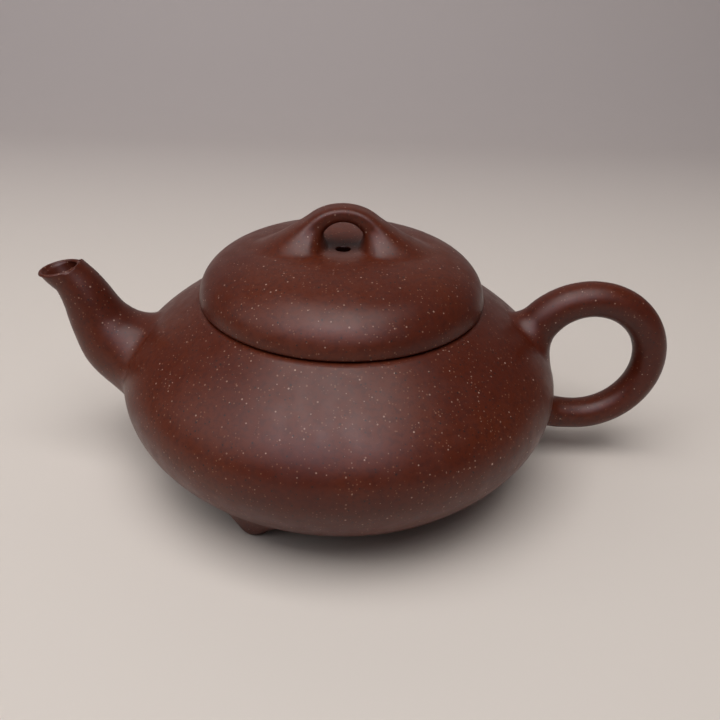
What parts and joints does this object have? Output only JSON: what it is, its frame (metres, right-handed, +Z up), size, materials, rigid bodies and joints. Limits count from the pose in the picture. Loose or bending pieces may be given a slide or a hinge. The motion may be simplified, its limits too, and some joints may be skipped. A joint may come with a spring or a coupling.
{
  "type": "yixing clay teapot",
  "caption": "Low wide unglazed clay teapot on small feet, with a lift-off lid with a bridge knob, a ring handle and a short curved spout.",
  "frame": {"origin": "middle of the whole teapot's box, at the level of the table under the feet", "axes": "+Z up; +X from the spout to the handle; the pot's turning axis is vertical at x = -5.5 mm"},
  "size_m": [0.1528, 0.1054, 0.0664],
  "materials": {
    "pot_clay": "unglazed burnished stoneware, satin, with fine pale grains",
    "lid_clay": "unglazed burnished stoneware, satin, with fine pale grains",
    "inner_clay": "unglazed stoneware, scraped but not burnished"
  },
  "bodies": {
    "pot": {"body_wall": "pot_clay", "base_disc": "inner_clay", "mouth_ring": "inner_clay", "spout": "pot_clay", "strainer_dome": "inner_clay", "handle": "pot_clay", "foot_front": "pot_clay", "foot_back": "pot_clay", "foot_handle_side": "pot_clay"},
    "lid": {"lid_plate": "lid_clay", "lid_flange": "lid_clay", "lid_knob": "lid_clay"}
  },
  "joints": [
    {"name": "lid_lift", "type": "slide", "parent": "pot", "child": "lid", "axis": [0, 0, 1], "range_m": [0, 0.06]}
  ]
}
